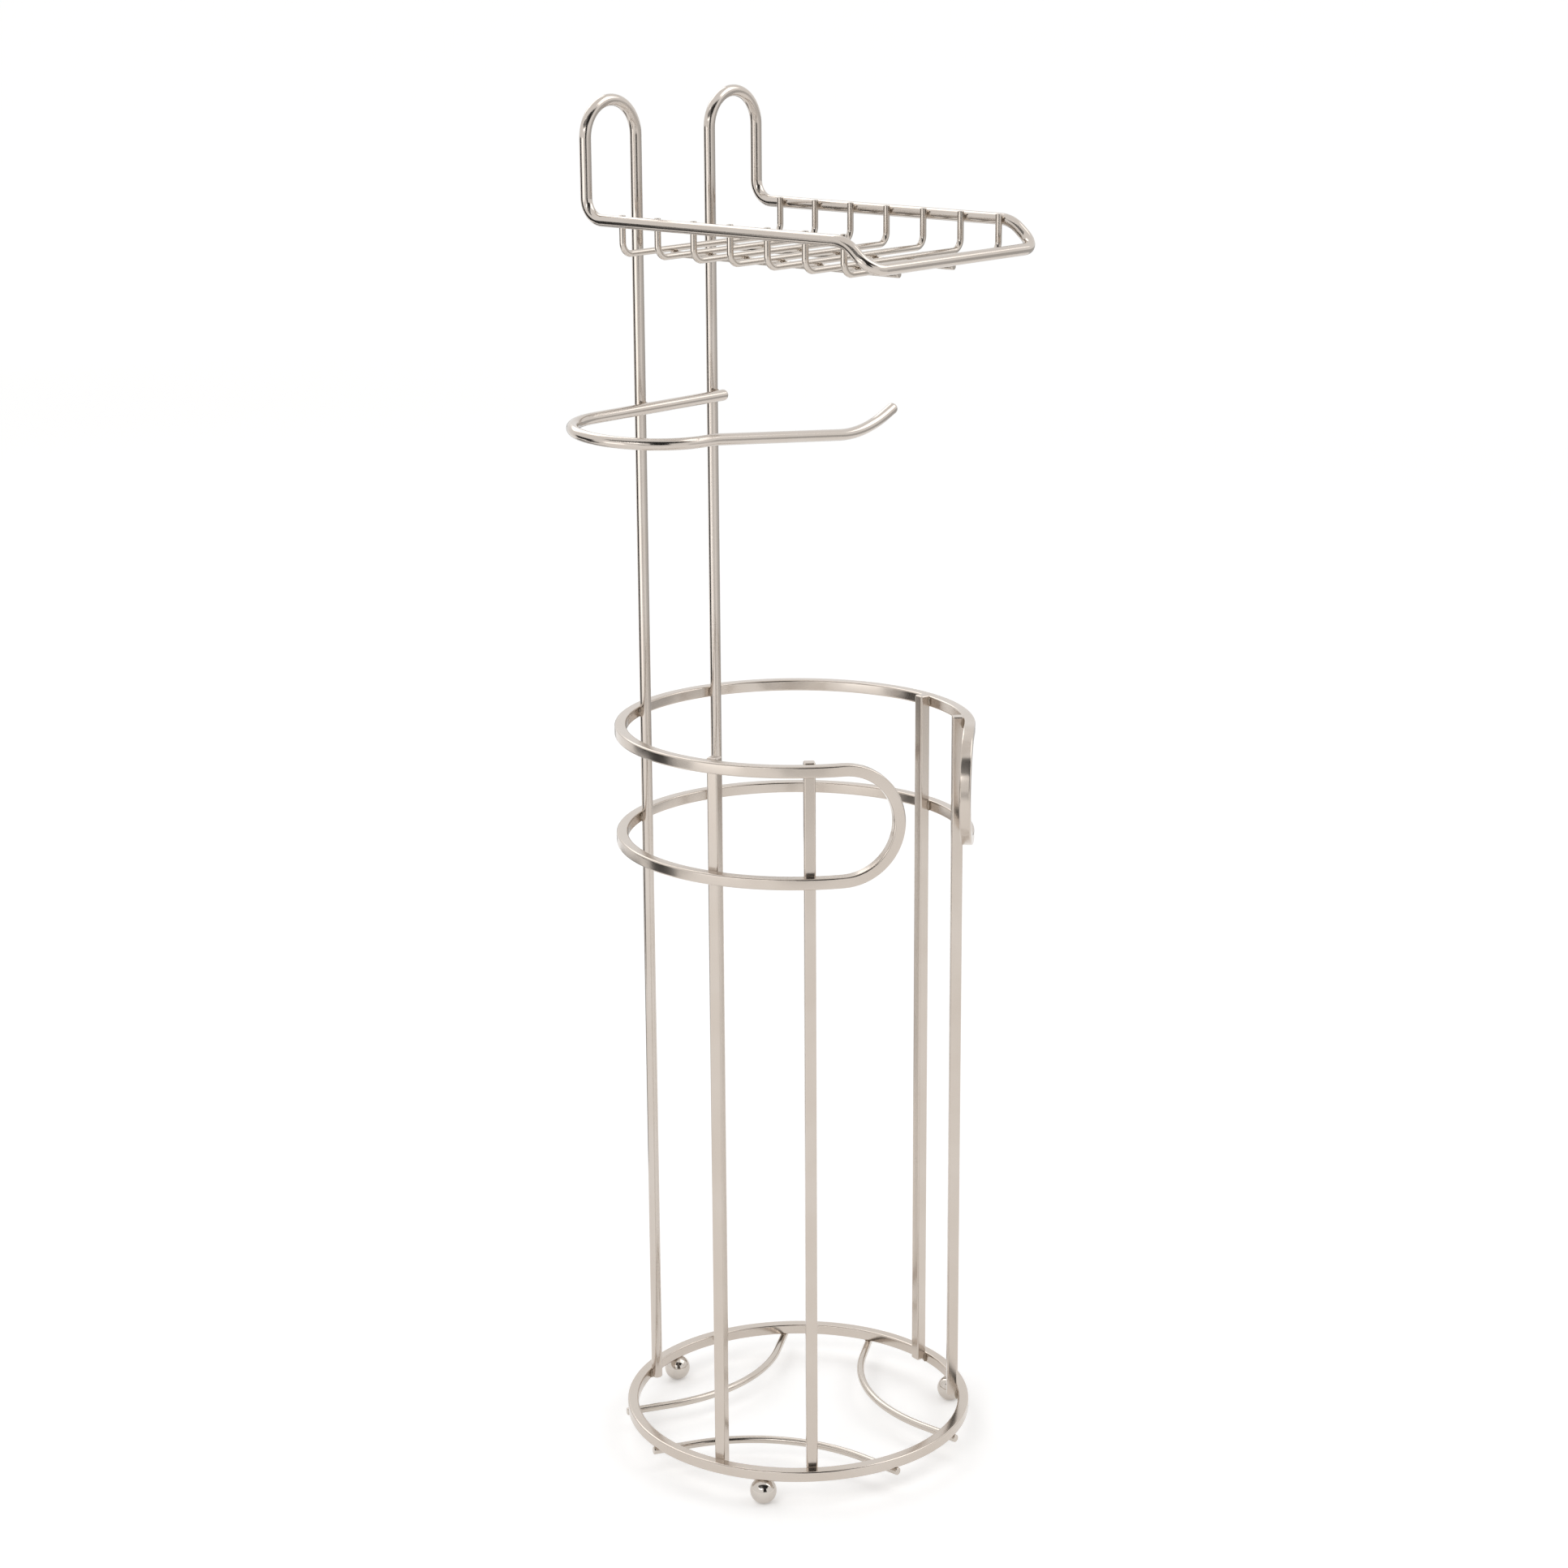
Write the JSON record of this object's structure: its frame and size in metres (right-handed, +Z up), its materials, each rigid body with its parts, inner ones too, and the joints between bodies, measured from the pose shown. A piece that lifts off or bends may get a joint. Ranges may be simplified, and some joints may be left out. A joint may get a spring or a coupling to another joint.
{
  "type": "toilet roll storage holder",
  "caption": "Free-standing wire stand with a round open-fronted cage for a stack of spare rolls, a hooked arm for the roll in use and a small wire tray on top",
  "frame": {"origin": "centre of the bounding box on the floor; the axis of the rings is at x = 6.75 mm, y = 3.59 mm", "axes": "+Z up; -Y towards the open front of the cage; +X towards the free end of the roll arm"},
  "size_m": [0.1724, 0.1732, 0.6114],
  "materials": {
    "square_bar": "satin nickel",
    "round_rod": "satin nickel",
    "thin_wire": "satin nickel",
    "foot_ball": "satin nickel"
  },
  "bodies": {
    "root": {"base_ring": "square_bar", "floor_wire_left": "thin_wire", "floor_wire_right": "thin_wire", "floor_wire_back": "thin_wire", "foot_left": "foot_ball", "foot_right": "foot_ball", "foot_back": "foot_ball", "bar_left_side": "square_bar", "bar_left_front": "square_bar", "bar_right_front": "square_bar", "bar_right_side": "square_bar", "guard_rail": "square_bar", "main_frame": "round_rod", "roll_arm": "round_rod", "tray_wire_1": "thin_wire", "tray_wire_2": "thin_wire", "tray_wire_3": "thin_wire", "tray_wire_4": "thin_wire", "tray_wire_5": "thin_wire", "tray_wire_6": "thin_wire", "tray_wire_7": "thin_wire", "tray_runner_left": "thin_wire", "tray_runner_right": "thin_wire"}
  },
  "joints": []
}
